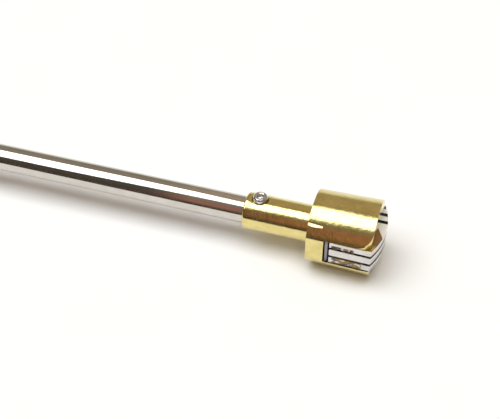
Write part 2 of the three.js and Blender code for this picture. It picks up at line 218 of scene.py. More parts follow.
def rounded(profile, radius, steps=4):
    """Rounds the corners of a profile. A corner given as (x, r, False) stays sharp."""
    closed = profile[0][:2] == profile[-1][:2]
    points = profile[:-1] if closed else profile
    out = []
    count = len(points)
    for i, point in enumerate(points):
        here = Vector(point[:2])
        sharp = len(point) == 3
        if sharp or (not closed and i in (0, count - 1)):
            out.append(tuple(here))
            continue
        before = Vector(points[i - 1][:2])
        after = Vector(points[(i + 1) % count][:2])
        reach = min(radius, (before - here).length * 0.45, (after - here).length * 0.45)
        start = here + (before - here).normalized() * reach
        end = here + (after - here).normalized() * reach
        out += curve(start, here, end, steps)
    if closed:
        out.append(out[0])
    return out


def skin(bm, rings, count):
    """Faces between rings of vertices. A ring of one vertex is a point on the axis."""
    for low, high in zip(rings, rings[1:]):
        for k in range(count):
            n = (k + 1) % count
            if len(low) == 1 and len(high) == 1:
                continue
            if len(low) == 1:
                bm.faces.new((low[0], high[k], high[n]))
            elif len(high) == 1:
                bm.faces.new((low[k], high[0], low[n]))
            else:
                bm.faces.new((low[k], high[k], high[n], low[n]))


def full_turn(count, offset=0.0):
    """Evenly spaced angles round a circle."""
    return [2 * math.pi * (k + offset) / count for k in range(count)]


def on_axis(x, radius, turn):
    """A point at a distance from the tool's axis, in metres."""
    return Vector((x * MM, radius * math.cos(turn) * MM, (AXIS_Z + radius * math.sin(turn)) * MM))


def turned(name, profile, sharp=30):
    """A solid turned about the tool's axis, from a profile of (distance along, radius)."""
    bm = bmesh.new()
    closed = profile[0] == profile[-1]
    rings = []
    for x, radius in profile[:-1] if closed else profile:
        turns = [0] if radius < 1e-6 else full_turn(TURNED_SIDES)
        rings.append([bm.verts.new(on_axis(x, radius, turn)) for turn in turns])
    if closed:
        rings.append(rings[0])
    skin(bm, rings, TURNED_SIDES)
    return from_bmesh(name, bm, sharp)


def upright_point(x, y, z):
    """A point in metres, from a place along and across the tool and a height above its axis."""
    return (x * MM, y * MM, (AXIS_Z + z) * MM)


def upright_lathe(name, x, profile):
    """A solid turned about an upright axis through the tool, from a profile of (radius, height)."""
    bm = bmesh.new()
    rings = []
    for radius, z in profile:
        turns = [0] if radius < 1e-6 else full_turn(UPRIGHT_SIDES)
        rings.append([
            bm.verts.new(upright_point(x + radius * math.cos(turn), radius * math.sin(turn), z))
            for turn in turns
        ])
    skin(bm, rings, UPRIGHT_SIDES)
    return from_bmesh(name, bm)


def capped(name, bottom, top):
    """A solid between two rings of points, with a flat face at each end."""
    bm = bmesh.new()
    rings = [[bm.verts.new(upright_point(*point)) for point in ring] for ring in (bottom, top)]
    skin(bm, rings, len(bottom))
    bm.faces.new(rings[0][::-1])
    bm.faces.new(rings[1])
    return from_bmesh(name, bm)


def prism(name, outline, low, high):
    """An upright prism over a plan outline, between two heights above the tool's axis."""
    return capped(name, [(x, y, low) for x, y in outline], [(x, y, high) for x, y in outline])


def block(name, low, high):
    """A box between two corners."""
    (x0, y0, z0), (x1, y1, z1) = low, high
    return prism(name, [(x0, y0), (x1, y0), (x1, y1), (x0, y1)], z0, z1)


def upright(name, x, low, high, radius, sides=HOLE_SIDES, top=None):
    """An upright cylinder or cone through the tool, between two heights above its axis."""
    rings = []
    for z, reach in ((low, radius), (high, radius if top is None else top)):
        rings.append([
            (x + reach * math.cos(turn), reach * math.sin(turn), z) for turn in full_turn(sides, 0.5)
        ])
    return capped(name, *rings)


def apply_modifiers(obj):
    """Replaces an object's mesh with what its modifiers make of it."""
    depsgraph = bpy.context.evaluated_depsgraph_get()
    mesh = bpy.data.meshes.new_from_object(obj.evaluated_get(depsgraph))
    old = obj.data
    obj.modifiers.clear()
    obj.data = mesh
    bpy.data.meshes.remove(old)


def boolean(obj, tools, operation):
    """Cuts or intersects with other objects, which are used up."""
    for tool in tools:
        step = obj.modifiers.new("step", "BOOLEAN")
        step.operation = operation
        step.solver = "EXACT"
        step.object = tool
    apply_modifiers(obj)
    for tool in tools:
        bpy.data.objects.remove(tool, do_unlink=True)
    return obj


def weld(obj):
    """Joins the vertices that a cut leaves on top of each other."""
    bm = bmesh.new()
    bm.from_mesh(obj.data)
    bmesh.ops.remove_doubles(bm, verts=bm.verts, dist=WELD_DISTANCE)
    bm.to_mesh(obj.data)
    bm.free()


def even_shading(obj):
    """Keeps large flat faces flat in shading, beside their rounded edges."""
    for polygon in obj.data.polygons:
        polygon.use_smooth = True
    obj.data.set_sharp_from_angle(angle=math.radians(SHARP_ANGLE))
    weighted = obj.modifiers.new("weighted", "WEIGHTED_NORMAL")
    weighted.keep_sharp = True
    weighted.weight = 100
    apply_modifiers(obj)
    return obj


def ease_edges(obj, width, keep=None):
    """Rounds the sharp edges of an object by a width in millimetres."""
    bm = bmesh.new()
    bm.from_mesh(obj.data)
    bmesh.ops.remove_doubles(bm, verts=bm.verts, dist=WELD_DISTANCE)
    bmesh.ops.dissolve_limit(
        bm, angle_limit=math.radians(FLAT_ANGLE), verts=bm.verts, edges=bm.edges,
        use_dissolve_boundaries=False,
    )
    limit = math.radians(EASED_ANGLE)
    edges = [
        edge for edge in bm.edges
        if len(edge.link_faces) == 2 and edge.calc_face_angle(0) > limit and (keep is None or keep(edge))
    ]
    bmesh.ops.bevel(
        bm, geom=edges, offset=width * MM, segments=2, profile=0.5, affect="EDGES",
        clamp_overlap=False, offset_type="OFFSET", miter_outer="SHARP",
    )
    bm.to_mesh(obj.data)
    bm.free()
    return even_shading(obj)


# ---------------------------------------------------------------- head

def flat_offset(x):
    """Distance of the side flats from the middle, at a place along the tool."""
    return FLAT_REAR + (FLAT_FRONT - FLAT_REAR) * (x - BARREL_X) / BARREL_LENGTH


def corner_bend(corner):
    """Curve of a prong's near front corner in plan, from the flat to the front face."""
    length, depth = corner
    start = Vector((FRONT_X - length, -flat_offset(FRONT_X - length)))
    pull = Vector((FRONT_X, -FLAT_FRONT))
    end = Vector((FRONT_X, -FLAT_FRONT + depth))
    return curve(start, pull, end, CORNER_STEPS)


def head_plan():
    """Plan outline of the head, with the front corners of the lower prong."""
    back = COLLAR_X - OVERSHOOT
    near = [(back, -flat_offset(back))] + corner_bend(LOWER_CORNER)
    far = [(x, -y) for x, y in near[::-1]]
    return near + far


def corner_cutter(name, side):
    """What the upper prong loses at one front corner: side is 1 for the near one and -1 for the far."""
    bend = corner_bend(UPPER_CORNER)
    (start_x, start_y), (end_x, end_y) = bend[0], bend[-1]
    outer_x, outer_y = end_x + OVERSHOOT, start_y - OVERSHOOT
    outline = bend + [(outer_x, end_y), (outer_x, outer_y), (start_x, outer_y)]
    within_slot = SLOT_HALF / 2
    return prism(name, [(x, y * side) for x, y in outline], within_slot, BARREL_FRONT_RADIUS + OVERSHOOT)


def notch_cutter():
    """Wedge that cuts the notch in the back edge of the barrel, on the near side."""
    floor_turn, place_turn = math.radians(NOTCH_FLOOR_ANGLE), math.radians(NOTCH_PLACE_ANGLE)
    across = math.sin(floor_turn - place_turn)
    obj = prism("notch", [
        (-OVERSHOOT, -NOTCH_BACK_WIDTH / 2), (NOTCH_LENGTH, -NOTCH_FRONT_WIDTH / 2),
        (NOTCH_LENGTH, NOTCH_FRONT_WIDTH / 2), (-OVERSHOOT, NOTCH_BACK_WIDTH / 2),
    ], 0, NOTCH_HEIGHT)
    shift = Matrix.Translation((0, -BARREL_REAR_RADIUS * across * MM, (NOTCH_FLOOR_OFFSET - AXIS_Z) * MM))
    turn = Matrix.Rotation(math.pi / 2 - floor_turn, 4, "X")
    place = Matrix.Translation((BARREL_X * MM, 0, AXIS_Z * MM))
    obj.data.transform(place @ turn @ shift)
    return obj


def clear_of_holes(edge):
    """True for an edge away from the pin hole and the notch, whose own edges stay crisp."""
    for vert in edge.verts:
        x, y, z = vert.co / MM
        if (x - BARREL_X - PIN_POSITION) ** 2 + y ** 2 < (PIN_HOLE + PIN_HOLE_MARGIN) ** 2:
            return False
        if abs(x - BARREL_X) < NOTCH_ZONE.x and y < -NOTCH_ZONE.y and z > AXIS_Z + NOTCH_ZONE.z:
            return False
    return True


def head_body():
    head = turned("brass_head", rounded([
        (COLLAR_X, 0),
        (COLLAR_X, COLLAR_RADIUS),
        (BARREL_X, COLLAR_RADIUS, False),
        (BARREL_X, BARREL_REAR_RADIUS, False),
        (FRONT_X, BARREL_FRONT_RADIUS, False),
        (FRONT_X, 0),
    ], COLLAR_EDGE))
    reach = BARREL_FRONT_RADIUS + OVERSHOOT
    boolean(head, [prism("plan", head_plan(), -reach, reach)], "INTERSECT")
    weld(head)
    mouth, bottom = COLLAR_X - OVERSHOOT, COLLAR_X + BORE_DEPTH
    slot_start, slot_end = BARREL_X + SLOT_START, FRONT_X + OVERSHOOT
    screw_x, pin_x = COLLAR_X + SCREW_FROM_END, BARREL_X + PIN_POSITION
    bevel_start = COLLAR_RADIUS - SCREW_HOLE_BEVEL
    bevel_end, bevel_radius = bevel_start + OVERSHOOT, SCREW_HOLE + OVERSHOOT
    cutters = [
        turned("bore", [(mouth, 0), (mouth, BORE_RADIUS), (bottom, BORE_RADIUS), (bottom, 0)]),
        block("slot", (slot_start, -reach, -SLOT_HALF), (slot_end, reach, SLOT_HALF)),
        upright("screw_hole", screw_x, 0, COLLAR_RADIUS + OVERSHOOT, SCREW_HOLE),
        upright("screw_bevel", screw_x, bevel_start, bevel_end, SCREW_HOLE, top=bevel_radius),
        upright("pin_hole", pin_x, -reach, SLOT_HALF + PIN_HOLE_IN_PRONG, PIN_HOLE),
        notch_cutter(),
        corner_cutter("near_corner", 1),
        corner_cutter("far_corner", -1),
    ]
    for cutter in cutters:
        boolean(head, [cutter], "DIFFERENCE")
        weld(head)
    return ease_edges(head, HEAD_EDGE, clear_of_holes)


def grub_screw():
    x = COLLAR_X + SCREW_FROM_END
    across = SOCKET_FLATS / 2 / math.cos(math.pi / 6)
    mouth = across + SOCKET_MARGIN
    body = upright_lathe("set_screw", x, rounded([
        (0, SCREW_TIP), (SCREW_RADIUS - SCREW_BEVEL, SCREW_TIP),
        (SCREW_RADIUS, SCREW_TIP + SCREW_BEVEL), (SCREW_RADIUS, SCREW_TOP - SCREW_BEVEL),
        (SCREW_RADIUS - SCREW_BEVEL, SCREW_TOP), (mouth, SCREW_TOP),
        (mouth - SOCKET_BEVEL, SCREW_TOP - SOCKET_BEVEL), (0, SCREW_TOP - SOCKET_BEVEL),
    ], SCREW_EDGE))
    socket = upright("socket", x, SCREW_TOP - SOCKET_DEPTH, SCREW_TOP + OVERSHOOT, across, sides=6)
    return boolean(body, [socket], "DIFFERENCE")


def stack_plan():
    """Plan of the stack: leaning sides and a bowed nose."""
    back = BARREL_X + STACK_START
    half = flat_offset(FRONT_X + CORNER_LEAD) - STACK_INSET
    rise = STACK_NOSE - CORNER_LEAD
    radius = (half ** 2 + rise ** 2) / (2 * rise)
    centre = FRONT_X + STACK_NOSE - radius
    sweep = math.asin(half / radius)
    turns = [-sweep + 2 * sweep * k / NOSE_STEPS for k in range(NOSE_STEPS + 1)]
    arc = [(centre + radius * math.cos(turn), radius * math.sin(turn)) for turn in turns]
    side = flat_offset(back) - STACK_INSET
    return [(back, -side)] + arc + [(back, side)]


def plate(name, low, high, cutters=()):
    """A plate of the stack between two heights, with the pin's hole."""
    obj = ease_edges(prism(name, stack_plan(), low, high), PLATE_EDGE)
    hole = upright("hole", BARREL_X + PIN_POSITION, low - OVERSHOOT, high + OVERSHOOT, PIN_HOLE)
    return even_shading(boolean(obj, [hole, *cutters], "DIFFERENCE"))


def pole_plate_upper():
    nose = FRONT_X + STACK_NOSE
    grooves = [
        block(
            "groove",
            (nose - GROOVE_LENGTH, across - GROOVE_WIDTH / 2, STACK_HALF - GROOVE_DEPTH),
            (nose + OVERSHOOT, across + GROOVE_WIDTH / 2, STACK_HALF + OVERSHOOT),
        )
        for across in GROOVES
    ]
    return plate("upper_plate", STACK_HALF - POLE_THICKNESS, STACK_HALF, grooves)


def keeper():
    start, end = BARREL_X + KEEPER_START, BARREL_X + KEEPER_END
    half = flat_offset(start) - KEEPER_GAP
    return ease_edges(block("keeper", (start, -half, -STACK_HALF), (end, half, STACK_HALF)), KEEPER_EDGE)


# ---------------------------------------------------------------- material nodes

def node_material(name):
    """A new material, its node tree and its only shader."""
    material = bpy.data.materials.new(name)
    material.use_nodes = True
    tree = material.node_tree
    tree.nodes.clear()
    out = tree.nodes.new("ShaderNodeOutputMaterial")
    shader = tree.nodes.new("ShaderNodeBsdfPrincipled")
    tree.links.new(shader.outputs["BSDF"], out.inputs["Surface"])
    return material, tree, shader


def add(tree, kind, **settings):
    node = tree.nodes.new(kind)
    for key, value in settings.items():
        setattr(node, key, value)
    return node


def axes(tree, output="Object"):
    """The three coordinates of a point, or of a direction in the world's tree, as sockets."""
    coords = add(tree, "ShaderNodeTexCoord")
    parts = add(tree, "ShaderNodeSeparateXYZ")
    tree.links.new(coords.outputs[output], parts.inputs["Vector"])
    return [parts.outputs[axis] for axis in "XYZ"]


def noise(tree, scale, detail, roughness):
    """Soft noise from 0 to 1. The scale per metre is one number or three, along, across and up."""
    coords = add(tree, "ShaderNodeTexCoord")
    mapping = add(tree, "ShaderNodeMapping")
    mapping.inputs["Scale"].default_value = (scale,) * 3 if isinstance(scale, (int, float)) else scale
    tree.links.new(coords.outputs["Object"], mapping.inputs["Vector"])
    node = add(tree, "ShaderNodeTexNoise")
    node.inputs["Scale"].default_value = 1.0
    node.inputs["Detail"].default_value = detail
    node.inputs["Roughness"].default_value = roughness
    tree.links.new(mapping.outputs["Vector"], node.inputs["Vector"])
    return node.outputs["Fac"]


def between(tree, value, start, end):
    """Maps a value from one range onto another and holds it at the ends."""
    node = add(tree, "ShaderNodeMapRange")
    for name, number in zip(("From Min", "From Max", "To Min", "To Max"), (*start, *end)):
        node.inputs[name].default_value = number
    tree.links.new(value, node.inputs["Value"])
    return node.outputs["Result"]


def operate(tree, operation, first, second=0.0):
    node = add(tree, "ShaderNodeMath", operation=operation)
    for socket, value in zip(node.inputs, (first, second)):
        if isinstance(value, (int, float)):
            socket.default_value = value
        else:
            tree.links.new(value, socket)
    return node.outputs["Value"]


def both(tree, *masks):
    """A mask that is 1 where all of several masks are."""
    result = masks[0]
    for mask in masks[1:]:
        result = operate(tree, "MULTIPLY", result, mask)
    return result


def band(tree, value, low, high, low_fade, high_fade):
    """A mask between two places, with its own fade inside each end."""
    return both(
        tree,
        between(tree, value, (low, low + low_fade), (0, 1)),
        between(tree, value, (high - high_fade, high), (1, 0)),
    )


def blend(tree, factor, first, second):
    """Mixes two colours. A mask of 1 gives the second one."""
    node = add(tree, "ShaderNodeMix", data_type="RGBA")
    for index, socket in ((0, factor), (6, first), (7, second)):
        tree.links.new(socket, node.inputs[index])
    return node.outputs[2]


def stops(tree, value, entries):
    """A colour ramp from (place, colour) entries."""
    node = add(tree, "ShaderNodeValToRGB")
    elements = node.color_ramp.elements
    while len(elements) < len(entries):
        elements.new(0.5)
    for element, (place, colour) in zip(elements, entries):
        element.position = place
        element.color = (*colour, 1)
    tree.links.new(value, node.inputs["Fac"])
    return node.outputs["Color"]


def paint(tree, colour):
    """A colour as a socket."""
    node = add(tree, "ShaderNodeRGB")
    node.outputs[0].default_value = (*colour, 1)
    return node.outputs[0]


def bump(tree, shader, height, depth):
    node = add(tree, "ShaderNodeBump")
    node.inputs["Strength"].default_value = 1.0
    node.inputs["Distance"].default_value = depth
    tree.links.new(height, node.inputs["Height"])
    tree.links.new(node.outputs["Normal"], shader.inputs["Normal"])


# ---------------------------------------------------------------- materials
# Colours are linear. Roughness is given as (lowest, highest) and relief in metres.

def turned_metal(name, light, dark, rough, ring_scale, ring_depth, stretch=0.02):
    """Metal with fine turning rings across the tool and slow changes of tone."""
    material, tree, shader = node_material(name)
    across = ring_scale * stretch
    rings = noise(tree, (ring_scale, across, across), 4.0, 0.6)
    tone = noise(tree, (300, 500, 500), 4.0, 0.6)
    tree.links.new(stops(tree, tone, ((0.35, dark), (0.65, light))), shader.inputs["Base Color"])
    tree.links.new(between(tree, tone, (0, 1), rough), shader.inputs["Roughness"])
    shader.inputs["Metallic"].default_value = 1.0
    bump(tree, shader, rings, ring_depth)
    return material


def ground_metal(name, light, dark, rough, scratch_depth):
    """Flat ground metal with short scratches along the tool."""
    material, tree, shader = node_material(name)
    scratches = noise(tree, (200, 9000, 9000), 3.0, 0.6)
    tone = noise(tree, 350, 4.0, 0.5)
    tree.links.new(stops(tree, tone, ((0.3, dark), (0.7, light))), shader.inputs["Base Color"])
    tree.links.new(between(tree, scratches, (0, 1), rough), shader.inputs["Roughness"])
    shader.inputs["Metallic"].default_value = 1.0
    bump(tree, shader, scratches, scratch_depth)
    return material


def shader_of(material):
    """A material's shader, with the sockets that feed its colour and its roughness."""
    shader = next(node for node in material.node_tree.nodes if node.type == "BSDF_PRINCIPLED")
    colour, rough = (shader.inputs[name].links[0].from_socket for name in ("Base Color", "Roughness"))
    return shader, colour, rough


def groove_shade_mask(tree, y, z, top):
    """The floor and walls of the grooves in the upper plate, which are painted dark as shade."""
    wall, lid, under = 0.01, 0.03, 0.02
    grooves = None
    for across in GROOVES:
        offset = operate(tree, "ABSOLUTE", operate(tree, "SUBTRACT", y, across * MM))
        near = operate(tree, "LESS_THAN", offset, (GROOVE_WIDTH / 2 + wall) * MM)
        grooves = near if grooves is None else operate(tree, "MAXIMUM", grooves, near)
    below = operate(tree, "LESS_THAN", z, top - lid * MM)
    above = operate(tree, "GREATER_THAN", z, top - (GROOVE_DEPTH + under) * MM)
    return both(tree, grooves, below, above)


def brass_reflection_mask(tree, x, y, face):
    """The near front corner of the upper plate's top, behind a slanting edge, where a reflection of the brass
    prong is painted.
    """
    lead, side, slope, fade = 0.4, 0.75, 0.55, 0.00008
    forward = operate(tree, "SUBTRACT", x, (FRONT_X - lead) * MM)
    reach = operate(tree, "MULTIPLY", operate(tree, "SUBTRACT", side * MM, y), slope)
    return both(tree, face, between(tree, operate(tree, "SUBTRACT", reach, forward), (-fade, fade), (0, 1)))


def grooved_metal(name, light, dark):
    """The upper plate: ground sides, a dull top painted pale as the lamp lights it, grooves painted black as
    shade, and a painted brown reflection of the brass prong on its near front corner.
    """
    material = ground_metal(name, light, dark, (0.14, 0.26), 0.000001)
    tree = material.node_tree
    shader, steel, rough = shader_of(material)
    x, y, z = axes(tree)
    top = (AXIS_Z + STACK_HALF) * MM
    grooves = groove_shade_mask(tree, y, z, top)
    face = operate(tree, "GREATER_THAN", z, top - 0.02 * MM)
    painted_reflection = brass_reflection_mask(tree, x, y, face)
    # Painted reflection of the brass prong's wall: brown further in, shading to a painted gold highlight
    # towards the near side.
    outward = between(tree, y, (-0.0066, -0.0046), (0, 1))
    brown = stops(tree, outward, ((0.2, (0.95, 0.78, 0.42)), (0.8, (0.46, 0.30, 0.17))))
    # Painted highlight: the top face is painted near-white, standing in for the overhead lamp's glare on it.
    colour = blend(tree, face, steel, paint(tree, (0.93, 0.93, 0.91)))
    colour = blend(tree, painted_reflection, colour, brown)

    low = operate(tree, "LESS_THAN", z, top - POLE_THICKNESS / 2 * MM)
    along = band(tree, x, (BARREL_X + 5.2) * MM, (BARREL_X + 10.6) * MM, 0.0004, 0.0006)
    patches = between(tree, noise(tree, (1300, 700, 900), 3.0, 0.55), (0.40, 0.46), (0, 1))
    residue = both(tree, low, along, patches)
    spots = noise(tree, 900, 2.0, 0.5)
    rust = stops(tree, spots, ((0.4, (0.07, 0.055, 0.035)), (0.6, (0.26, 0.16, 0.10))))
    colour = blend(tree, residue, colour, rust)
    # Painted shade: the grooves' floor and walls are painted near-black.
    colour = blend(tree, grooves, colour, paint(tree, (0.012, 0.011, 0.012)))
    tree.links.new(colour, shader.inputs["Base Color"])

    dull = operate(tree, "SUBTRACT", face, painted_reflection)
    tree.links.new(between(tree, dull, (0, 1), (1.0, 0.15)), shader.inputs["Metallic"])
    duller = operate(tree, "ADD", rough, operate(tree, "MULTIPLY", dull, 0.25))
    tree.links.new(duller, shader.inputs["Roughness"])
    return material


def stained(name, start, end, amount, stains, metal):
    """Ground metal with patches of old adhesive between two distances along the barrel."""
    material = ground_metal(name, *metal, (0.16, 0.3), 0.000002)
    tree = material.node_tree
    shader, steel, _ = shader_of(material)
    zone = band(tree, axes(tree)[0], (BARREL_X + start) * MM, (BARREL_X + end) * MM, 0.0004, 0.0004)
    patches = noise(tree, (900, 900, 1500), 3.0, 0.55)
    edge = between(tree, patches, (0.62 - amount, 0.66 - amount), (0, 1))
    kind = noise(tree, (500, 700, 700), 2.0, 0.5)
    tint = stops(tree, kind, tuple(zip((0.45, 0.55), stains)))
    mask = both(tree, zone, edge)
    tree.links.new(blend(tree, mask, steel, tint), shader.inputs["Base Color"])
    tree.links.new(between(tree, mask, (0, 1), (1.0, 0.25)), shader.inputs["Metallic"])
    return material


def moulded(name, light, dark, rough, grain_scale, grain_depth):
    """Moulded rubber or plastic with a fine grain."""
    material, tree, shader = node_material(name)
    grain = noise(tree, grain_scale, 3.0, 0.6)
    tone = noise(tree, 90.0, 4.0, 0.5)
    tree.links.new(stops(tree, tone, ((0.3, dark), (0.7, light))), shader.inputs["Base Color"])
    tree.links.new(between(tree, grain, (0, 1), rough), shader.inputs["Roughness"])
    shader.inputs["Metallic"].default_value = 0.0
    bump(tree, shader, grain, grain_depth)
    return material


BRASS = turned_metal("brass", (0.81, 0.70, 0.31), (0.70, 0.585, 0.24), (0.07, 0.14), 1900, 0.000032, 0.75)
ROD_STEEL = turned_metal("rod_steel", (0.66, 0.63, 0.59), (0.60, 0.57, 0.53), (0.06, 0.12), 3000, 0.0000006)
SCREW_STEEL = turned_metal("screw_steel", (0.70, 0.69, 0.69), (0.58, 0.57, 0.57), (0.12, 0.2), 3000, 0.000001)
PLATE_STEEL = ground_metal("plate_steel", (0.74, 0.72, 0.70), (0.62, 0.60, 0.58), (0.14, 0.26), 0.000001)
GROOVED_STEEL = grooved_metal("grooved_steel", (0.74, 0.72, 0.70), (0.62, 0.60, 0.58))
DARK_STEEL = ground_metal("dark_steel", (0.10, 0.095, 0.09), (0.04, 0.038, 0.036), (0.35, 0.5), 0.000003)
STAINED_STEEL = stained(
    "stained_steel", 5.6, 12.2, 0.24,
    stains=((0.085, 0.075, 0.075), (0.27, 0.18, 0.05)), metal=((0.70, 0.68, 0.67), (0.52, 0.50, 0.50)),
)
GAP_FILL = stained(
    "gap_fill", 5.0, 11.0, 0.16,
    stains=((0.20, 0.12, 0.07), (0.46, 0.40, 0.30)), metal=((0.05, 0.048, 0.045), (0.015, 0.015, 0.015)),
)
KEEPER_STEEL = ground_metal("keeper_steel", (0.34, 0.32, 0.35), (0.03, 0.03, 0.035), (0.3, 0.45), 0.000004)
RUBBER = moulded("grip_rubber", (0.028, 0.028, 0.03), (0.018, 0.018, 0.02), (0.45, 0.62), 5200.0, 0.00002)
PLASTIC = moulded("cap_plastic", (0.035, 0.035, 0.038), (0.024, 0.024, 0.026), (0.3, 0.42), 7000.0, 0.00001)


def finish_piece(obj, material, body, slot, *nodes):
    """Gives a detailed piece its material and body, and hides the CAD nodes that it replaces. The slot is not
    used.
    """
    obj.data.materials.clear()
    obj.data.materials.append(material)
    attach(obj, body)
    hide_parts(*nodes)


def dress_node(node, material):
    """Gives a carried-over CAD node its material."""
    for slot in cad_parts[node].material_slots:
        slot.link = "OBJECT"
        slot.material = material


# ---------------------------------------------------------------- tubes and handle

def ends_of(node):
    """Where a CAD node starts and ends along the tool."""
    low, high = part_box(node)
    return (Vector(low) / MM).x, (Vector(high) / MM).x


def tube_profile(node, inner, outer):
    low, high = ends_of(node)
    return rounded([(low, inner), (low, outer), (high, outer), (high, inner), (low, inner)], TUBE_EDGE)


def lip_profile(node, outer, next_outer):
    low, high = ends_of(node)
    skirt, guide = outer + LIP_SKIRT_GAP, next_outer + LIP_GUIDE_GAP
    outside = skirt + LIP_WALL
    return rounded([
        (low, skirt), (low, outside), (high, outside), (high, guide), (high - LIP_FACE, guide),
        (high - LIP_FACE, skirt), (low, skirt),
    ], LIP_EDGE, FINE_STEPS)


def ferrule_profile():
    low, high = ends_of("handle_ferrule")
    return rounded([
        (low, FERRULE_BORE), (low, FERRULE_REAR_RADIUS), (low + FERRULE_BAND, FERRULE_REAR_RADIUS),
        (high - FERRULE_SHOULDER, FERRULE_FRONT_RADIUS), (high, FERRULE_NOSE_RADIUS),
        (high, FERRULE_GUIDE_RADIUS), (high - FERRULE_FACE, FERRULE_GUIDE_RADIUS),
        (high - FERRULE_FACE, FERRULE_BORE), (low, FERRULE_BORE),
    ], FERRULE_EDGE, FINE_STEPS)


def cap_profile():
    low, high = ends_of("end_cap")
    dome = [(low + along, radius) for along, radius in CAP_DOME]
    return rounded(dome + [(high, CAP_STEM_RADIUS), (high, 0)], CAP_EDGE, FINE_STEPS)


def grip_reach(turn):
    """Distance from the axis to the rounded hexagon, in a direction across the tool."""
    third = math.pi / 3
    local = (turn + third / 2) % third - third / 2
    centre = (GRIP_HALF_FLATS - GRIP_CORNER) / math.cos(third / 2)
    flat = GRIP_HALF_FLATS / math.cos(third / 2 - abs(local))
    arc_half = math.atan2(GRIP_CORNER * math.sin(third / 2), centre + GRIP_CORNER * math.cos(third / 2))
    if abs(local) >= arc_half:
        return flat
    return centre * math.cos(local) + math.sqrt(GRIP_CORNER ** 2 - (centre * math.sin(local)) ** 2)


def eased_min(first, second, ease):
    """The smaller of two lengths, with the change between them rounded off inwards."""
    spread = max(ease - abs(first - second), 0) / ease
    return min(first, second) - spread * spread * ease / 4


def grip_limit(x, low, high):
    """Largest distance from the axis that the end tapers and ring grooves allow."""
    corner = GRIP_HALF_FLATS / math.cos(math.pi / 6)
    slope = (corner - GRIP_END_RADIUS) / GRIP_TAPER
    limit = eased_min(GRIP_END_RADIUS + (x - low) * slope, GRIP_END_RADIUS + (high - x) * slope, TAPER_EASE)
    first = high - GRIP_TAPER - RING_PITCH * RING_COUNT + RING_WIDTH / 2
    for ring in range(RING_COUNT):
        away = abs(x - first - ring * RING_PITCH)
        if away < RING_WIDTH:
            wall = RING_RADIUS + max(away - RING_FLOOR, 0) * (corner - RING_RADIUS) / RING_WALL
            limit = eased_min(limit, wall, RING_EASE)
    return limit


def grip_stations(low, high):
    """Places along the grip: close together at the tapers and rings, wide apart between them."""
    rings_start = high - GRIP_TAPER - RING_PITCH * RING_COUNT - 1
    taper_end = low + GRIP_TAPER + 1
    places = [low + place for place in EDGE_PLACES]
    x = low + FIRST_PLACE
    while x < high - FIRST_PLACE:
        places.append(x)
        x += RING_STEP if x > rings_start else TAPER_STEP if x < taper_end else PLAIN_STEP
    return places + [high - place for place in EDGE_PLACES[::-1]]


def handle_grip():
    low, high = ends_of("handle_grip")
    turns = full_turn(GRIP_SIDES)
    outline = [grip_reach(turn) for turn in turns]
    bm = bmesh.new()
    rings = []
    for x in grip_stations(low, high):
        limit = grip_limit(x, low, high)
        edge = min(x - low, high - x)
        soften = GRIP_EDGE * (1 - math.sqrt(max(1 - (1 - min(edge / GRIP_EDGE, 1)) ** 2, 0)))
        rings.append([
            bm.verts.new(on_axis(x, eased_min(reach, limit, SIDE_EASE) - soften, turn))
            for turn, reach in zip(turns, outline)
        ])
    for x in (high, low):
        rings.append([bm.verts.new(on_axis(x, GRIP_BORE, turn)) for turn in turns])
    rings.append(rings[0])
    skin(bm, rings, GRIP_SIDES)
    return from_bmesh("rubber_grip", bm, 40)


# ---------------------------------------------------------------- the tool

for piece, body, node, inner, outer in TUBES:
    finish_piece(turned(piece, tube_profile(node, inner, outer)), ROD_STEEL, body, "polished_steel", node)
for piece, body, node, outer, next_outer in LIPS:
    finish_piece(turned(piece, lip_profile(node, outer, next_outer)), ROD_STEEL, body, "polished_steel", node)

FERRULE = turned("polished_ferrule", ferrule_profile())
CAP = turned("plastic_cap", cap_profile(), sharp=50)
finish_piece(FERRULE, ROD_STEEL, "handle", "polished_steel", "handle_ferrule")
finish_piece(CAP, PLASTIC, "handle", "cap", "end_cap")
finish_piece(handle_grip(), RUBBER, "handle", "grip", "handle_grip")

finish_piece(head_body(), BRASS, "head", "brass", "head_body")
finish_piece(grub_screw(), SCREW_STEEL, "grub_screw", "polished_steel", "grub_screw")
UPPER_PLATE = pole_plate_upper()
MIDDLE_PLATE = plate("middle_plate", -MAGNET_HALF, MAGNET_HALF)
LOWER_PLATE = plate("lower_plate", -STACK_HALF, -STACK_HALF + POLE_THICKNESS)
finish_piece(UPPER_PLATE, GROOVED_STEEL, "head", "plate_steel", "pole_plate_upper")
finish_piece(MIDDLE_PLATE, PLATE_STEEL, "head", "plate_steel", "magnet_plate")
finish_piece(LOWER_PLATE, STAINED_STEEL, "head", "plate_steel", "pole_plate_lower")
finish_piece(keeper(), KEEPER_STEEL, "head", "dark_steel", "back_keeper")

for node, material in {
    "shim_upper": GAP_FILL, "shim_lower": DARK_STEEL, "retaining_pin": SCREW_STEEL,
    "front_tube_plug": DARK_STEEL, "front_tube_bush": BRASS, "middle_tube_bush": BRASS,
    "rear_tube_bush": BRASS, "handle_tube": ROD_STEEL, "end_plug": BRASS,
}.items():
    dress_node(node, material)


# ---------------------------------------------------------------- studio
# Lengths here are in metres, except the camera's, and angles are in degrees.

FLOOR_HALF = 40.0
FLOOR_TONES = ((0.3, (0.855, 0.865, 0.885)), (0.7, (0.87, 0.88, 0.90)))

LIGHT_COLOUR = (0.90, 0.95, 1.0)
LIGHT_HEIGHT = 1.2
LIGHT_LENGTH = 3.2
LIGHT_NEAR_ANGLE = 60
LIGHT_FAR_ANGLE = 106
LIGHT_RADIANCE = 0.66

TABLE_HALF = 1.5
TABLE_EDGE_Y = -0.046
TABLE_EDGE_Z = 0.0005
TABLE_EDGE_TONES = ((0.3, (0.045, 0.032, 0.02)), (0.7, (0.065, 0.045, 0.026)))

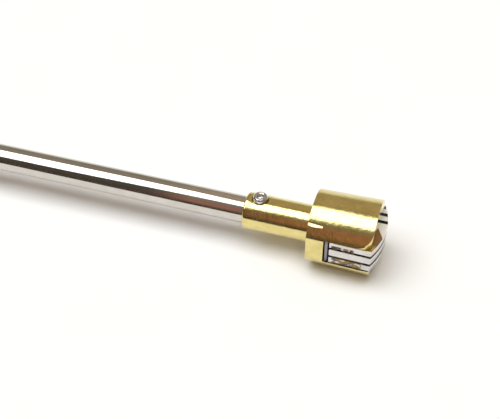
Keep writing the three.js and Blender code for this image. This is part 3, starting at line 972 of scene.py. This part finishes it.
# What the metal reflects, by how far a direction is turned up from the near side: 0 is the near
# horizon, 0.5 is overhead and 1 is the far horizon. The head sees the warm side and the rod the dim one.
FAR_SIDE = ((0.94, (0.78, 0.77, 0.70)), (1.0, (0.85, 0.84, 0.78)))
DIM_SIDE = (
    (0.0, (0.075, 0.055, 0.038)), (0.16, (0.085, 0.075, 0.062)), (0.3, (0.085, 0.085, 0.078)),
    (0.5, (0.20, 0.20, 0.16)), (0.58, (0.27, 0.25, 0.19)), (0.66, (0.34, 0.29, 0.22)),
    (0.86, (0.29, 0.26, 0.21)), (0.91, (0.30, 0.28, 0.23)), *FAR_SIDE,
)
WARM_SIDE = (
    (0.0, (0.08, 0.055, 0.03)), (0.04, (0.22, 0.13, 0.085)), (0.10, (0.38, 0.195, 0.135)),
    (0.22, (0.38, 0.18, 0.14)), (0.26, (0.26, 0.23, 0.18)), (0.32, (0.28, 0.28, 0.23)),
    (0.56, (0.28, 0.26, 0.19)), (0.66, (0.47, 0.37, 0.26)), (0.91, (0.41, 0.34, 0.26)), *FAR_SIDE,
)
SIDES_MEET = (-0.26, -0.20)

# Long soft lamp overhead, as the metal sees it. Its two long edges lean along the tool.
LAMP_WHITE = (3.6, 3.55, 3.4)
LAMP_NEAR_X = (-0.40, -0.17)
LAMP_NEAR_EDGE = (48.5 / 180, 64.5 / 180)
LAMP_NEAR_SOFT = 0.006
LAMP_FAR_X = (-0.20, -0.15)
LAMP_FAR_EDGE = (104 / 180, 99 / 180)
LAMP_FAR_SOFT = 0.008
LAMP_REAR_SLANT = (-1.0, -0.9)
LAMP_FRONT_SLANT = (0.3, 0.4)
LOWEST_HEIGHT = 0.02

CAMERA_LENS = 70.4
CAMERA_AZIMUTH = 17.51
CAMERA_ELEVATION = 43.05
CAMERA_DISTANCE = 212.5
CAMERA_BEHIND_BARREL = 14.44
CAMERA_ACROSS = 0.3


def sheet(name, x_half, y_low, y_high, z):
    """A flat rectangle."""
    bm = bmesh.new()
    for x, y in ((-x_half, y_low), (x_half, y_low), (x_half, y_high), (-x_half, y_high)):
        bm.verts.new((x, y, z))
    bm.faces.new(list(bm.verts))
    return from_bmesh(name, bm)


def floor():
    obj = sheet("floor", FLOOR_HALF, -FLOOR_HALF, FLOOR_HALF, 0)
    material, tree, shader = node_material("floor_paint")
    tree.links.new(stops(tree, noise(tree, 40.0, 2.0, 0.5), FLOOR_TONES), shader.inputs["Base Color"])
    shader.inputs["Roughness"].default_value = 0.9
    shader.inputs["Specular IOR Level"].default_value = 0.1
    obj.data.materials.append(material)


def table_edge():
    """The dark edge of the table in front of the sheet, seen in reflections only."""
    obj = sheet("table_edge", TABLE_HALF, -TABLE_HALF, TABLE_EDGE_Y, TABLE_EDGE_Z)
    material = bpy.data.materials.new("table_edge_paint")
    material.use_nodes = True
    tree = material.node_tree
    tree.nodes.clear()
    out = add(tree, "ShaderNodeOutputMaterial")
    glow = add(tree, "ShaderNodeEmission")
    tree.links.new(stops(tree, noise(tree, 8.0, 2.0, 0.5), TABLE_EDGE_TONES), glow.inputs["Color"])
    tree.links.new(glow.outputs["Emission"], out.inputs["Surface"])
    obj.data.materials.append(material)
    obj.visible_camera = False
    obj.visible_diffuse = False
    obj.visible_shadow = False


def overhead_light():
    """Soft light for the floor and the dark parts. The metal reflects the world's lamp in its place."""
    near, far = (-LIGHT_HEIGHT / math.tan(math.radians(a)) for a in (LIGHT_NEAR_ANGLE, LIGHT_FAR_ANGLE))
    light = bpy.data.lights.new("overhead", "AREA")
    light.shape = "RECTANGLE"
    light.color = LIGHT_COLOUR
    light.size = LIGHT_LENGTH
    light.size_y = far - near
    light.energy = LIGHT_RADIANCE * math.pi * light.size * light.size_y
    obj = bpy.data.objects.new("overhead", light)
    obj.location = (0, (near + far) / 2, LIGHT_HEIGHT)
    obj.visible_glossy = False
    bpy.context.scene.collection.objects.link(obj)


def surroundings():
    """What the metal reflects: a long soft lamp overhead, a pale far side and a dim warm near side."""
    world = bpy.data.worlds.new("studio")
    world.use_nodes = True
    tree = world.node_tree
    tree.nodes.clear()
    out = add(tree, "ShaderNodeOutputWorld")
    back = add(tree, "ShaderNodeBackground")
    x, y, z = axes(tree, "Generated")
    turned_up = operate(tree, "ARCTAN2", z, operate(tree, "MULTIPLY", y, -1))
    lift = operate(tree, "DIVIDE", turned_up, math.pi)
    room = blend(
        tree, between(tree, x, SIDES_MEET, (0, 1)), stops(tree, lift, DIM_SIDE), stops(tree, lift, WARM_SIDE),
    )
    past_near = operate(tree, "SUBTRACT", lift, between(tree, x, LAMP_NEAR_X, LAMP_NEAR_EDGE))
    before_far = operate(tree, "SUBTRACT", between(tree, x, LAMP_FAR_X, LAMP_FAR_EDGE), lift)
    slant = operate(tree, "DIVIDE", x, operate(tree, "MAXIMUM", z, LOWEST_HEIGHT))
    lamp = both(
        tree,
        between(tree, past_near, (-LAMP_NEAR_SOFT, LAMP_NEAR_SOFT), (0, 1)),
        between(tree, before_far, (-LAMP_FAR_SOFT, LAMP_FAR_SOFT), (0, 1)),
        between(tree, slant, LAMP_REAR_SLANT, (0, 1)),
        between(tree, slant, LAMP_FRONT_SLANT, (1, 0)),
    )
    tree.links.new(blend(tree, lamp, room, paint(tree, LAMP_WHITE)), back.inputs["Color"])
    tree.links.new(back.outputs["Background"], out.inputs["Surface"])
    bpy.context.scene.world = world


def camera():
    data = bpy.data.cameras.new("camera")
    data.sensor_width = 36
    data.lens = CAMERA_LENS
    data.clip_start = 0.01
    obj = bpy.data.objects.new("camera", data)
    azimuth, elevation = math.radians(CAMERA_AZIMUTH), math.radians(CAMERA_ELEVATION)
    target = Vector((BARREL_X - CAMERA_BEHIND_BARREL, CAMERA_ACROSS, AXIS_Z))
    level = math.cos(elevation)
    back = Vector((level * math.sin(azimuth), -level * math.cos(azimuth), math.sin(elevation)))
    obj.location = (target + back * CAMERA_DISTANCE) * MM
    obj.rotation_mode = "QUATERNION"
    obj.rotation_quaternion = (-back).to_track_quat("-Z", "Y")
    bpy.context.scene.collection.objects.link(obj)
    bpy.context.scene.camera = obj


floor()
overhead_light()
table_edge()
surroundings()
camera()
bpy.context.scene.view_settings.view_transform = "Standard"
